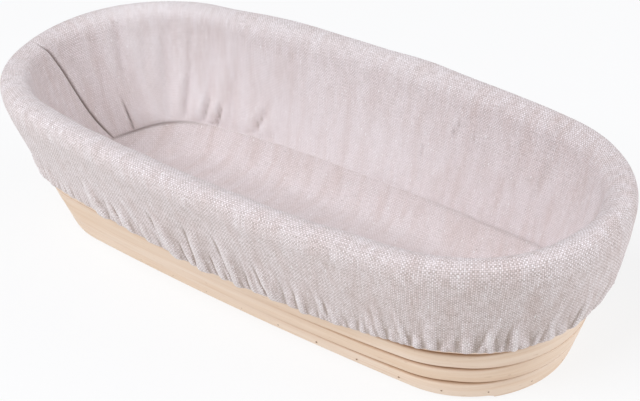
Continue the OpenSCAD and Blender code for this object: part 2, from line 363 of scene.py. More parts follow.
def elasticMaterial():
    material, tree = startMaterial("Elastic, woven with rubber")
    cut = addNode(tree, "UVMap", uv_map="cut")[0]
    turns = 2 * math.pi / (elastic["rib"] * mm)
    phase = addNode(tree, "VectorMath", {0: cut, 1: (turns, turns, 0)}, operation="MULTIPLY")[0]
    wave = addNode(tree, "VectorMath", {0: phase}, operation="SINE")[0]
    ribs = addNode(tree, "SeparateXYZ", {0: wave})
    share = addNode(tree, "MapRange", {0: ribs[0], 1: -1})[0]
    colour = addNode(tree, "Mix", {0: share, 6: toLinear(elastic["shade"]), 7: toLinear(elastic["white"])},
                     data_type="RGBA")[2]
    addSurface(tree, elastic, {"Base Color": colour, "Roughness": elastic["roughness"]}, share)
    return material


# Cotton sewing thread, twisted: off-white and matt, with a slanting twist. A wave texture of scale 1 repeats
# about every 0.3.
thread = {"light": "#ece4df", "dark": "#c9bdb6", "twist": 0.7, "waveLength": 0.3, "uneven": 1.5,
          "roughness": 0.8}


def threadMaterial():
    material, tree = startMaterial("Cotton thread, twisted")
    place = addNode(tree, "TexCoord")["Object"]
    twistScale = thread["waveLength"] / (thread["twist"] * mm)
    wave = addNode(tree, "TexWave", {"Vector": place, "Scale": twistScale, "Distortion": thread["uneven"]},
                   bands_direction="DIAGONAL")[1]
    colour = addNode(tree, "Mix", {0: wave, 6: toLinear(thread["dark"]), 7: toLinear(thread["light"])},
                     data_type="RGBA")[2]
    addSurface(tree, thread, {"Base Color": colour, "Roughness": thread["roughness"]})
    return material


materials = {"cane": rattanMaterial(), "brad": steelMaterial(), "linen": linenMaterial(),
             "elastic": elasticMaterial(), "thread": threadMaterial()}
print("materials made:", len(materials))


# Gives a piece its material and its place in the frame
def settle(piece, material, body, slot, *nodes):
    piece.data.materials.append(materials[material])
    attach(piece, body)
    if nodes:
        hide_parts(*nodes)


# Canes: flattened rods with crowned faces, wound in spirals whose first and last turns are planed thin.
# The grooves between the turns are open round the right end's near corner, partly so along the far side, and
# sanded nearly shut elsewhere.
cane = {"wallTurns": 9, "floorTurns": 5, "wallStart": 2.4, "taperEnd": 1.4, "gap": 0.6, "openGap": 0.08,
        "shutGap": 0.01, "feather": 0.8, "featherTurns": 0.06, "ringsInTurn": 160, "sectionPoints": 36,
        "shutSquareness": 30, "openSquareness": 2.6, "edgeSquareness": 4, "waver": 0.1, "waverGrain": (9, 5),
        "grooveFrom": 0.68, "patternShift": 900, "coreWidth": 8, "coreRings": 81, "coreTip": 0.999,
        "floorRoom": 0.5, "opensOver": 0.3,
        "openGrooves": [(0, 0.95), (0.05, 1), (0.065, 0.5), (0.08, 0.06), (0.15, 0.03), (0.25, 0.3),
                        (0.5, 0.35), (0.65, 0.05), (0.84, 0.07), (0.88, 0.2), (0.92, 0.4), (0.96, 0.75)]}
sectionTurn = np.linspace(0, 2 * math.pi, cane["sectionPoints"], endpoint=False)


# Section of a rod as places across and up from -1 to 1
def rodSection(squareness):
    waves = np.cos(sectionTurn), np.sin(sectionTurn)
    return (np.sign(wave) * np.abs(wave) ** (2 / squareness) for wave in waves)


# How open a groove is, some turns after its start beside the planed foot, where it is shut
def openShare(step, turns):
    return roundValue(shareAt(step), cane["openGrooves"]) * ease(turns / cane["opensOver"])


# A value that goes from a shut groove's to an open one's
def grooveValue(name, opening):
    return cane["shut" + name] + opening * (cane["open" + name] - cane["shut" + name])


# Where a turn's further edge runs, with the planed ends running out thin
def turnEdge(turns, count, low, high):
    pitch = (high - low - 2 * cane["taperEnd"] - cane["gap"]) / (count - 1)
    ends = np.clip([turns, count - 1 - turns], 0, None)
    thin = np.subtract(*np.exp(-ends / cane["featherTurns"]))
    return low + cane["taperEnd"] * (1 - cane["feather"] * thin) + pitch * turns


# Edges of a winding after some turns, in the space from low to high that it fills
def turnEdges(turns, count, low, high, shownGap):
    spread = (cane["gap"] - shownGap) / 2
    near = turnEdge(turns - 1, count, low, high) + cane["gap"] - spread
    far = turnEdge(turns, count, low, high) + spread
    return np.where(turns < 1, low, near), np.where(turns > count - 1, high, far)


# A rod through rings of points, with groove the painted shade along its edges. Its number shifts the pattern,
# so that no two canes look the same.
def caneTube(name, points, groove, seed, node):
    length, around = wayAlong(points.mean(1)), wayAlong(points[len(points) // 2])
    girth = around[-1] * len(around) / (len(around) - 1)
    cut = np.stack(np.broadcast_arrays(around[None], length[:, None] + cane["patternShift"] * seed), 2)
    piece = gridPiece(name, points, cut, turnColumns=girth, capFirst=True, capLast=True,
                      marks={"groove": groove})
    faceOutward(piece)
    settle(piece, "cane", "basket", "cane", node)


# Uneven sanding of a cane's faces, which mostly takes wood away
def caneWaver(rings, seed):
    return cane["waver"] * (softNoise(rings, cane["sectionPoints"], cane["waverGrain"], seed) - 1)


# How much painted shade a rod's face gets towards its edges, from its place across the section
def grooveShade(place):
    return ease((np.abs(place) - cane["grooveFrom"]) / (1 - cane["grooveFrom"]))


def wallCane(name, first, last, seed, node):
    turns = np.linspace(first, last, round((last - first) * cane["ringsInTurn"]) + 1)[:, None]
    step = cane["wallStart"] + stepsInTurn * turns
    upper = np.sin(sectionTurn) > 0
    opening = openShare(step, np.where(upper, turns, turns - 1))
    low, high = turnEdges(turns, cane["wallTurns"], 0, rimHeight, grooveValue("Gap", opening))
    outerEdge = np.where(upper, turns > cane["wallTurns"] - 1, turns < 1)
    squareness = np.where(outerEdge, cane["edgeSquareness"], grooveValue("Squareness", opening))
    across, upward = rodSection(squareness)
    waver = caneWaver(len(turns), seed)
    z = (low + high) / 2 + (high - low) / 2 * upward
    x, y = ovalAt(step, wallOval(z, waver - basket["wallDepth"] / 2 * (1 - across)))[:2]
    beside = np.where(upward > 0, turns < cane["wallTurns"] - 1, turns > 1)
    # Painted shade on the edges that face a neighbouring turn, as far as the groove between them is open
    groove = beside * grooveShade(upward) * opening
    caneTube(name, np.stack([x, y, z], 2), groove, seed, node)


# The floor's turns lie on ovals that shrink in proportion
def floorCane(name, seed, node):
    count = cane["floorTurns"]
    length, width, radius = basket["foot"]
    turns = np.arange(count * cane["ringsInTurn"] + 1)[:, None] / cane["ringsInTurn"]
    lowest = (cane["coreWidth"] / 2 + cane["gap"]) * width / radius
    highest = width - basket["wallDepth"] - cane["floorRoom"]
    low, high = turnEdges(turns, count, lowest, highest, cane["openGap"])
    across, upward = rodSection(cane["openSquareness"])
    middle, out = (low + high) / 2, (high - low) / 2 * across
    oval = (middle + length - width + out, middle + out, middle * radius / width + out)
    x, y = ovalAt(stepsInTurn * turns, oval)[:2]
    thick = (floorTop - floorUnder) / 2
    z = floorUnder + thick + thick * upward + caneWaver(len(turns), seed) * (upward > 0)
    # Painted shade along the edges of each turn
    caneTube(name, np.stack([x, y, z], 2), grooveShade(across), seed, node)


# The core is straight, with rounded ends
def floorCore(name, seed, node):
    low, high = (np.array(corner)[:, None, None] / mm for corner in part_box(node))
    across, upward = rodSection(cane["openSquareness"])
    x = high[0] * np.sin(np.linspace(-math.pi / 2, math.pi / 2, cane["coreRings"]))[:, None]
    past = np.clip((np.abs(x) - high[0] + high[1]) / high[1], 0, cane["coreTip"])
    thick = (high[2] - low[2]) / 2
    y = high[1] * np.sqrt(1 - past ** 2) * across
    points = np.broadcast_arrays(x, y, low[2] + thick + thick * upward)
    # Painted shade along the core's edges
    caneTube(name, np.stack(points, 2), grooveShade(across), seed, node)


splice = cane["wallTurns"] / 2
wallCane("lowerWallCane", 0, splice, 1, "lower_wall_cane")
wallCane("upperWallCane", splice + cane["gap"] / wayRound, cane["wallTurns"], 2, "upper_wall_cane")
floorCane("floorCane", 3, "floor_cane")
floorCore("floorCore", 4, "floor_core")
print("canes wound")

# Brads: low domed heads flush in the foot, with their shanks running in to the floor. Along the left of the
# near side they are driven in below the face, where the damp cane has closed over them.
brad = {"count": 32, "offset": 0.75, "z": 4.6, "sides": 14, "joined": 0.01, "crownTo": 0.95,
        "sunk": [(0.6, 0), (0.64, 0.5), (0.9, 0.5), (0.92, 0)],
        "profile": [(0, 0.06), (0.25, 0.04), (0.42, -0.04), (0.45, -0.3), (0.45, -17.2), (0, -18)]}


# How far the foot's crowned face stands back at a step and height
def footBack(step, z):
    turns = (step - cane["wallStart"]) / stepsInTurn % 1
    low, high = turnEdges(turns, cane["wallTurns"], 0, rimHeight, cane["openGap"])
    if z > high:
        low, high = turnEdges(turns + 1, cane["wallTurns"], 0, rimHeight, cane["openGap"])
    aside = np.clip(np.abs(2 * z - low - high) / (high - low), 0, brad["crownTo"])
    squareness = grooveValue("Squareness", openShare(step, turns))
    return basket["wallDepth"] / 2 * (1 - (1 - aside ** squareness) ** (1 / squareness))


def footBrads(name, node):
    radius, depth = np.array(brad["profile"]).T[..., None]
    spin = np.linspace(0, 2 * math.pi, brad["sides"], endpoint=False)
    vertices, faces = [], []
    for number in range(brad["count"]):
        share = (number + brad["offset"]) / brad["count"]
        step = stepAt(share)
        back = footBack(step, brad["z"]) + roundValue(share, brad["sunk"])
        x, y, facing = ovalAt(step, wallOval(brad["z"], depth - back))
        aside, z = radius * np.cos(spin), brad["z"] + radius * np.sin(spin)
        ring = np.stack(np.broadcast_arrays(x - aside * np.sin(facing), y + aside * np.cos(facing), z), 2)
        faces += tubeFaces(len(vertices), len(depth), brad["sides"])
        vertices += ring.reshape(-1, 3).tolist()
    piece = addPiece(name, vertices, faces)
    faceOutward(piece, brad["joined"])
    settle(piece, "brad", "basket", "brad", node)


footBrads("footBrads", "foot_brads")
for node in ("floor_brads", "wall_brads"):
    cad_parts[node].data.materials.clear()
    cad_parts[node].data.materials.append(materials["brad"])
print("brads set")

# Liner: one strip of cloth from the seam at the floor, up the inside, over the rim and down to a gathered
# hem. It bulges and sags at the ends. It has painted shade towards the hem, and round the oval painted light,
# with painted shade where that list is below zero.
liner = {"columns": 1420, "insideRoom": 2.2, "outsideRoom": 2.6, "casingRoom": 0.9, "stripLength": 870,
         "casing": 9, "wallSlope": 0.28, "worn": 0.55, "paintedShade": 0.15, "wavy": 0.3, "wavyGrain": (1, 12),
         "rowsAfter": {"seam": 4, "seamTop": 3, "low": 5, "middle": 4, "high": 4, "innerRim": 6, "crest": 4,
                       "shoulder": 5, "outerRim": 4, "skirtTop": 8, "skirt": 7, "casing": 4, "band": 4,
                       "edge": 2, "hem": 2, "turned": 3},
         "seamHeight": [(0, 25), (0.11, 26), (0.22, 27.5), (0.27, 27), (0.46, 26.5), (0.5, 24.5),
                        (0.535, 24.5), (0.555, 23), (0.575, 22), (0.6, 21), (0.66, 22), (0.75, 24),
                        (0.92, 25)],
         "hemHeight": [(0, 35), (0.035, 37), (0.06, 35.8), (0.12, 36), (0.2, 37), (0.3, 33), (0.362, 30.5),
                       (0.43, 33), (0.52, 37), (0.61, 36.5), (0.7, 36.8), (0.76, 36), (0.78, 35.4),
                       (0.83, 31), (0.862, 30), (0.9, 30.5), (0.96, 31.6)],
         "rimWobble": [(0.06, 0), (0.12, -1.2), (0.2, -1.4), (0.25, 0), (0.28, -1), (0.305, -1), (0.32, 0),
                       (0.34, 1.3), (0.36, 0.1), (0.385, 0.1), (0.405, 1.6), (0.425, 2.1), (0.442, 1.7),
                       (0.465, 0), (0.5, -1.1), (0.55, -1.9), (0.61, -1.9), (0.68, -0.3), (0.9, 0)],
         "crestDip": [(0.05, -0.5), (0.3, 0), (0.45, 0.7), (0.52, 1.1), (0.6, 1.1), (0.7, 0.6),
                      (0.9, -0.5)],
         "bulge": [(0.05, 0), (0.1, 1.8), (0.18, 2), (0.25, 0), (0.55, 0), (0.62, 1.2), (0.68, 1.2),
                   (0.75, 0)],
         "sag": [(0.07, 0), (0.11, 1.5), (0.13, 2.2), (0.16, 2.4), (0.2, 1.2), (0.26, 0), (0.58, 0),
                 (0.63, -0.9), (0.69, -0.9), (0.74, 0), (0.9, 0)],
         "innerRoll": [(0.1, 1.5), (0.2, 0.2), (0.65, 0.2), (0.72, 1.5)],
         "paintedLightAndShade": [(0.05, -0.06), (0.1, 0.1), (0.2, -0.05), (0.28, 0), (0.34, 0.45), (0.5, 0.45),
                   (0.555, 1), (0.585, 0.1), (0.605, -0.05), (0.64, 0.1), (0.68, 0.4), (0.78, 0.3),
                   (0.84, 0.07), (0.95, 0.07), (0.98, -0.06)]}
share = np.arange(liner["columns"]) / liner["columns"]
step = stepAt(share)
columnsInMm = liner["columns"] / wayRound
seam, hem, wobble, dip, bulge, sag, roll = (roundValue(share, liner[key]) for key in (
    "seamHeight", "hemHeight", "rimWobble", "crestDip", "bulge", "sag", "innerRoll"))
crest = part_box("liner_side")[1].z / mm - dip


# Soft noise over cloth, with its grain in rows and in mm round the oval
def clothNoise(shape, grain, seed):
    return softNoise(*shape, (grain[0], grain[1] * columnsInMm), seed)


wobble += liner["wavy"] * clothNoise((1, liner["columns"]), liner["wavyGrain"], seed=5)[0]


# The strip's section at every column, as rows of a smooth curve through a few key points.
# Each is a distance outside the wall's outer face and a height.
def stripSection():
    inside, outside = -basket["wallDepth"] - liner["insideRoom"], liner["outsideRoom"]
    casingRoom = liner["casingRoom"]
    # Up the inside, over the rim, down the outside, and round the hem into the casing
    keys = [(inside, seam), (inside, seam + 2.5), (inside, seam + 14), (inside - 0.1, 56),
            (inside - 0.1 - roll / 2, 72), (inside + 0.6 - roll, rimHeight - 1.2),
            (-basket["wallDepth"] / 2, crest), (1 + wobble, rimHeight + 1.1 - dip / 2),
            (3.6 + wobble + bulge / 3, rimHeight - 5), (outside + 0.5 + wobble * 0.6 + bulge, 70),
            (outside + bulge * 0.7 + sag * 0.3, (hem + rimHeight) / 2),
            (outside + sag, hem + liner["casing"]), (outside + sag * 0.6, hem + 4),
            (outside - 0.1 + sag * 0.1, hem + 0.9), (1.7, hem), (casingRoom, hem + 0.9),
            (casingRoom, hem + 8)]
    keys = np.array([np.broadcast_arrays(*key, share)[:2] for key in keys])
    gaps = np.linalg.norm(np.diff(keys, axis=0), axis=1).mean(1)[:, None, None]
    slopes = np.diff(keys, axis=0) / gaps
    inner = (gaps[:-1] * slopes[1:] + gaps[1:] * slopes[:-1]) / (gaps[:-1] + gaps[1:])
    tangents = np.concatenate([slopes[:1], inner, slopes[-1:]])
    rows = []
    for i, count in enumerate(liner["rowsAfter"].values()):
        t = (np.arange(count + (i == len(gaps) - 1)) / count)[:, None, None]
        rows.append((1 + 2 * t) * (1 - t) ** 2 * keys[i] + t * (1 - t) ** 2 * gaps[i] * tangents[i]
                    + t ** 2 * (3 - 2 * t) * keys[i + 1] - t ** 2 * (1 - t) * gaps[i] * tangents[i + 1])
    rows = np.concatenate(rows)
    return rows[:, 0], rows[:, 1]


stripOut, stripZ = stripSection()
keyRow = dict(zip(liner["rowsAfter"], np.cumsum([0, *liner["rowsAfter"].values()])))
rowNumber = np.arange(len(stripOut))[:, None]


# How far a row is on from one key point to another
def between(first, last):
    return ease((rowNumber - keyRow[first]) / (keyRow[last] - keyRow[first]))


onInside, lowerDown = 1 - between("high", "crest"), 1 - between("low", "crest")
onSkirt, turnedIn = between("shoulder", "skirtTop"), between("edge", "turned")
aboveHem = np.clip(stripZ - hem, 0, None)

# The strip's ends are sewn together inside at the left. The columns of points lean there, so that one follows
# that seam.
# Along that seam lies a line of painted shade
endSeam = {"heights": (21, 31, 42, 56, 67, 78, 84),
           "shares": (0.596, 0.606, 0.612, 0.618, 0.623, 0.63, 0.634),
           "column": 0.615, "leansOver": 0.045, "width": 0.8, "depth": 1, "puff": 0.35, "puffWidth": 6,
           "dark": 0.82}
seamCurve = np.polyfit(endSeam["heights"], endSeam["shares"], 3)
seamShare = np.polyval(seamCurve, np.clip(stripZ, endSeam["heights"][0], endSeam["heights"][-1]))
endColumn = share[np.abs(share - endSeam["column"]).argmin()]
leaning = bumps(share, [(1, endColumn, endSeam["leansOver"])]) * (1 - between("crest", "outerRim"))
place = share + (seamShare - endColumn) * leaning


# How far the cloth lies aside of a line between two shares and heights, and how far up the line it is
def besideLine(lowShare, lowZ, highShare, highZ):
    climb = (stripZ - lowZ) / (highZ - lowZ)
    aside = (place - lowShare - (highShare - lowShare) * np.clip(climb, 0, 1) + 0.5) % 1 - 0.5
    return aside * wayRound, climb


# Gathers: small uneven pleats that the elastic makes in the hem, and longer drag folds above them.
# They are deepest a little above the hem, where the elastic lets go of the cloth, and calmer round the ends.
gather = {"seed": 11, "widths": (3.2, 6.6), "heights": (0.7, 1.6), "reaches": (6, 9, 14),
          "odds": (0.4, 0.4, 0.2), "reachSpread": (0.8, 1.25), "skews": (0.7, 1.4), "lean": 0.16,
          "foldGaps": (9, 18), "foldWidths": (2, 4.2), "foldDepths": (0.5, 1.3), "foldHeights": (12, 30),
          "foldSwing": 0.004, "foldProfile": [(1, 0, 1), (-0.7, -1.15, 0.35)], "fadesFrom": 0.4,
          "fadesOver": 0.65, "seenFrom": 0.755, "seenTo": 1.1, "deepest": 0.5, "atHem": 0.6, "risesBy": 4,
          "valley": 0.75, "pressed": 0.65, "lifted": 0.15, "liftRows": 3, "fuzz": 0.14, "fuzzGrain": (3, 4),
          "calm": [(0.07, 1), (0.11, 0.5), (0.2, 0.5), (0.25, 1), (0.55, 1), (0.6, 0.4), (0.7, 0.5),
                   (0.74, 0.75), (0.88, 0.75), (0.93, 1)]}
# Drag folds on the near side, as share at the hem, share at the top, height of the top, width and depth
dragFolds = [(0.77, 0.763, 60, 3.4, 2.6), (0.786, 0.781, 52, 2.6, 1.6), (0.797, 0.788, 51, 2.8, 2),
             (0.812, 0.809, 48, 2.4, 1.4), (0.835, 0.827, 60, 3.6, 2.8), (0.847, 0.845, 46, 2.2, 1.4),
             (0.857, 0.858, 63, 3.6, 2.3), (0.872, 0.871, 47, 2.4, 1.5), (0.886, 0.882, 62, 3.4, 2.6),
             (0.899, 0.898, 45, 2.2, 1.3), (0.913, 0.908, 54, 3, 2), (0.936, 0.934, 48, 2.6, 1.3),
             (0.957, 0.956, 46, 2.4, 1.1), (0.984, 0.984, 50, 2.8, 0.9), (1.012, 1.013, 46, 2.4, 0.8),
             (1.037, 1.037, 50, 2.6, 0.8), (1.062, 1.064, 54, 3, 1), (1.082, 1.085, 50, 2.6, 0.5)]


def dragFold(atHem, atTop, top, width, depth):
    aside, climb = besideLine(atHem, np.interp(atHem % 1, share, hem), atTop, top)
    ridge = bumps(aside / width, gather["foldProfile"])
    return depth * ridge * (1 - ease((climb - gather["fadesFrom"]) / gather["fadesOver"]))


def gatherField():
    rng = np.random.default_rng(gather["seed"])
    field = np.zeros_like(stripOut)
    start = 0.0
    while start < wayRound:
        width = rng.uniform(*gather["widths"])
        tall = rng.uniform(*gather["heights"])
        reach = rng.choice(gather["reaches"], p=gather["odds"]) * rng.uniform(*gather["reachSpread"])
        part = (share * wayRound - start + rng.normal(0, gather["lean"]) * aboveHem) % wayRound / width
        part = np.clip(part, 0, 1) ** rng.uniform(*gather["skews"])
        pleat = np.sin(math.pi * part) ** gather["valley"]
        field += tall * pleat * np.exp(-(aboveHem / reach) ** 2)
        start += width
    start = gather["seenTo"] * wayRound
    while start < (gather["seenFrom"] + 1) * wayRound:
        atHem = start / wayRound
        top = np.interp(atHem % 1, share, hem) + rng.uniform(*gather["foldHeights"])
        field += dragFold(atHem, atHem + rng.normal(0, gather["foldSwing"]), top,
                          rng.uniform(*gather["foldWidths"]), rng.uniform(*gather["foldDepths"]))
        start += rng.uniform(*gather["foldGaps"])
    field = field * roundValue(share, gather["calm"]) + sum(dragFold(*fold) for fold in dragFolds)
    rise = gather["atHem"] + (1 - gather["atHem"]) * ease(aboveHem / gather["risesBy"])
    return np.maximum(field, -gather["deepest"]) * rise


# In the casing the folds are pressed flatter, and at the hem's edge they lift it unevenly
folds = gatherField()
stripOut = stripOut + folds * onSkirt * (1 - gather["pressed"] * turnedIn)
atEdge = ease((rowNumber - keyRow["band"]) / gather["liftRows"])
stripZ = stripZ - gather["lifted"] * (folds - folds.mean()) * atEdge
fuzzy = gather["fuzz"] * clothNoise(stripOut.shape, gather["fuzzGrain"], seed=9)
stripOut = stripOut + onSkirt * (1 - turnedIn) * fuzzy

# Creases inside, as share and height of the lower end, share and height of the upper end, width, depth and
# how much painted shade lies along the line
creases = [(0.575, 21, 0.58, 41, 1.3, 1.5, 0.66), (0.527, 25, 0.518, 56, 4, 2.2, 0),
           (0.508, 25, 0.501, 42, 3, 2.4, 0.15), (0.495, 24, 0.489, 39, 2.4, 3, 0.35),
           (0.461, 28, 0.449, 44, 3.4, 2.6, 0.15), (0.484, 27, 0.478, 62, 6, 1.6, 0),
           (0.3, 62, 0.293, 71, 1.5, 1, 0.25), (0.32, 45, 0.32, 52, 1.3, 0.7, 0.15),
           (0.283, 61, 0.282, 66, 1.2, 0.6, 0.15), (0.232, 46, 0.226, 71, 4, 0.5, 0),
           (0.59, 48, 0.591, 82, 4.5, 0.7, 0), (0.573, 52, 0.572, 83, 3.8, 0.8, 0),
           (0.556, 48, 0.552, 80, 4.5, 0.6, 0), (0.541, 42, 0.537, 78, 4.5, 0.8, 0),
           (0.519, 56, 0.515, 78, 4, 0.8, 0), (0.65, 42, 0.655, 80, 6, 0.8, 0),
           (0.69, 40, 0.692, 76, 5, 0.8, 0), (0.12, 44, 0.118, 78, 6, 0.9, 0),
           (0.16, 46, 0.163, 78, 6, 0.9, 0), (0.05, 40, 0.052, 74, 5, 0.8, 0),
           (0.9, 40, 0.897, 76, 5, 0.8, 0), (0.8, 44, 0.803, 78, 6, 0.8, 0)]
# Drape inside: a slow swell, soft upright waves that are strongest towards the left end, the section of a
# crease, and how far it runs past its ends
drape = {"swell": 0.35, "swellGrain": (5, 19), "waveGrain": (9, 4), "rough": 0.16, "roughGrain": (4, 9),
         "waves": [(0, 0.15), (0.3, 0.15), (0.42, 0.22), (0.5, 0.3), (0.6, 0.3), (0.68, 0.25), (0.76, 0.18)],
         "crease": [(0.55, 1.5, 1.1), (-0.6, 0, 0.55), (0.25, -1.6, 1.3)], "runsPast": 0.1,
         "startsOver": 0.3, "endsOver": 0.5, "lineWidth": 0.7}


# Swell of the cloth towards the inside of the basket, and the painted shade along its seams and creases
def insideField():
    swell = drape["swell"] * clothNoise(stripOut.shape, drape["swellGrain"], seed=12)
    swell += roundValue(share, drape["waves"]) * clothNoise(stripOut.shape, drape["waveGrain"], seed=13)
    shade = np.zeros_like(stripOut)
    for lowShare, lowZ, highShare, highZ, width, depth, dark in creases:
        aside, climb = besideLine(lowShare, lowZ, highShare, highZ)
        fade = ease((climb + drape["runsPast"]) / drape["startsOver"])
        fade *= ease((1 + drape["runsPast"] - climb) / drape["endsOver"])
        shade += fade * bumps(aside, [(dark, 0, drape["lineWidth"])])
        swell += depth * fade * bumps(aside / width, drape["crease"])
    aside = (place - seamShare) * wayRound
    swell += bumps(aside, [(endSeam["puff"], 0, endSeam["puffWidth"]),
                           (-endSeam["depth"] - endSeam["puff"], 0, endSeam["width"])])
    shade += bumps(aside, [(endSeam["dark"], 0, drape["lineWidth"])])
    return swell, shade


# How far the cloth stands out from its surroundings along each row, in shares of a full ridge
def standsOut(relief, grain, full):
    kept = np.exp(-2 * (math.pi * grain * columnsInMm * np.fft.rfftfreq(relief.shape[1])) ** 2)
    around = np.fft.irfft(np.fft.rfft(relief, axis=1) * kept, relief.shape[1], axis=1)
    return np.clip((relief - around) / full, -1, 1)


# The seam at the floor is drawn tight near the two ends, where it is pinched deeper and has more painted
# shade along it, and is hardly seen along the far side
floorSeam = {"tight": [(0, 0.05), (0.19, 0.06), (0.21, 0.2), (0.27, 0.17), (0.31, 0.1), (0.335, 0.02),
                       (0.51, 0.03), (0.535, 0.6), (0.6, 0.65), (0.625, 0.1), (0.8, 0.05)],
             "dark": 1.2, "lineWidth": 0.5, "calmOver": 5, "pinch": 0.1, "tightPinch": 0.6, "pinchWidth": 1.4}
seamLine = roundValue(share, floorSeam["tight"])


# Painted shade along the floor seam, at some mm from it
def floorSeamShade(away):
    return seamLine * bumps(away, [(floorSeam["dark"], 0, floorSeam["lineWidth"])])


swell, shade = insideField()
aboveSeam = stripZ - seam
lowInside = rowNumber < keyRow["middle"]
shade = np.maximum(shade * onInside, floorSeamShade(aboveSeam) * lowInside)
push = swell * onInside * ease(aboveSeam / floorSeam["calmOver"])

# Broad and narrow folds get painted shade in their valleys and painted highlight on their ridges, by how far
# they stand out, over a grain and up to a full ridge in mm. Those inside count for more.
foldShade = {"broad": (4, 2.2), "narrow": (1.3, 0.4), "insideMore": 1.6}
fold = standsOut(folds * onSkirt + foldShade["insideMore"] * push, *foldShade["broad"])
fold += standsOut(folds * onSkirt, *foldShade["narrow"])
# Painted shade grows from the outer rim down to the casing, and round the oval painted light is added, with
# painted shade where the list is below zero
fold -= liner["paintedShade"] * between("outerRim", "casing")
fold += roundValue(share, liner["paintedLightAndShade"])

# The cloth is pushed square to its own face
push += drape["rough"] * clothNoise(stripOut.shape, drape["roughGrain"], seed=14) * (1 - turnedIn)
pinch = floorSeam["pinch"] + floorSeam["tightPinch"] * seamLine
push -= pinch * bumps(aboveSeam, [(1, 0, floorSeam["pinchWidth"])]) * lowInside
leanOut, leanUp = np.gradient(stripOut, axis=0), np.gradient(stripZ, axis=0)
leanOut = leanOut + liner["wallSlope"] * leanUp
push = push / np.hypot(leanOut, leanUp)
stripOut = stripOut - push * (leanUp + liner["wallSlope"] * leanOut)
stripZ = stripZ + push * leanOut


def linerSide(name, node):
    x, y = ovalAt(stepAt(place), wallOval(stripZ, stripOut))[:2]
    way = np.stack([stripOut + liner["wallSlope"] * stripZ, stripZ])
    down = np.concatenate([[0], np.cumsum(np.linalg.norm(np.diff(way, axis=1), axis=0).mean(1))])
    cut = np.stack(np.broadcast_arrays(place * liner["stripLength"], down[:, None]), 2)
    piece = gridPiece(name, np.stack([x, y, stripZ], 2), cut, turnColumns=liner["stripLength"],
                      marks={"seam": shade, "fold": fold, "worn": liner["worn"] * lowerDown})
    settle(piece, "linen", "liner", "linen", node)
    print("strip", round(down[-1]), "mm wide")


# Floor panel: an oval of the same cloth, sewn to the strip along the seam and pressed into a shallow dish
# Over the whole panel a little painted shade is laid, through the fold mark
panel = {"rows": 26, "rowSpread": 1.6, "middle": 0.5, "worn": 0.5, "paintedShade": 0.17, "dip": 17, "dipCurve": 2.2,
         "lift": 1.5, "ripple": 0.28, "rippleGrain": (3, 14), "rippleEnds": 0.25, "sewnIn": 12,
         "ovalArea": 0.86}


def linerFloor(name, node):
    floorZ = floorTop + panel["lift"]
    inward = np.linspace(0, 1, panel["rows"])[:, None] ** panel["rowSpread"]
    length, width, radius = wallOval(stripZ[0], stripOut[0])
    half = panel["middle"] + (width - panel["middle"]) * (1 - inward)
    inset = width - half
    x, y = ovalAt(stepAt(place[0]), (length - inset, half, half * radius / width))[:2]
    fall = np.clip(inset / panel["dip"], 0, 1)
    z = floorZ + (stripZ[0] - floorZ) * (1 - fall) ** panel["dipCurve"]
    ripple = panel["ripple"] * clothNoise(z.shape, panel["rippleGrain"], seed=21)
    z = z + ripple * ease(fall) * ease((1 - inward) / panel["rippleEnds"])
    # The cut runs out along the rising edge, so that the weave isn't stretched there
    across, along = np.diff(x, axis=0), np.diff(y, axis=0)
    stretch = np.sqrt(1 + np.diff(z, axis=0) ** 2 / (across ** 2 + along ** 2)) - 1
    cut = np.stack([x, y], 2)
    cut[:-1] -= np.cumsum((np.stack([across, along], 2) * stretch[..., None])[::-1], 0)[::-1]
    piece = gridPiece(name, np.stack([x, y, z], 2), cut, turnColumns=0, capLast=True,
                      marks={"seam": floorSeamShade(inset), "worn": panel["worn"], "fold": -panel["paintedShade"]})
    settle(piece, "linen", "liner", "linen", node)
    across, along = (2 * size.mean() + panel["sewnIn"] for size in (width, length))


# Elastic: a flat band inside the hem's casing
band = {"width": 5, "thick": 0.5, "above": 1.6, "room": 1.15,
        "corners": [(0, 0), (1, 0), (1, 0.5), (1, 1), (0, 1), (0, 0.5)]}


def hemElastic(name, node):
    outer, upper = np.array(band["corners"]).T[..., None]
    z = hem + band["above"] + band["width"] * upper
    x, y = ovalAt(step, wallOval(z, band["room"] + band["thick"] * outer))[:2]
    steps = np.abs(np.diff(outer[:, 0])) * band["thick"] + np.abs(np.diff(upper[:, 0])) * band["width"]
    around = np.concatenate([[0], np.cumsum(steps)])
    cut = np.stack(np.broadcast_arrays(share * wayRound, around[:, None]), 2)
    piece = gridPiece(name, np.stack([x, y, z], 2), cut, turnRows=around[-1] + band["width"] / 2,
                      turnColumns=wayRound)
    faceOutward(piece)
    settle(piece, "elastic", "liner", "elastic", node)


# Stitches: a running seam of thread round the top of the hem's casing
stitch = {"length": 2.3, "pitch": 3.1, "thick": 0.16, "thinnest": 0.02, "proud": 0.06, "dive": 0.25,
          "sides": 6, "rings": 6}


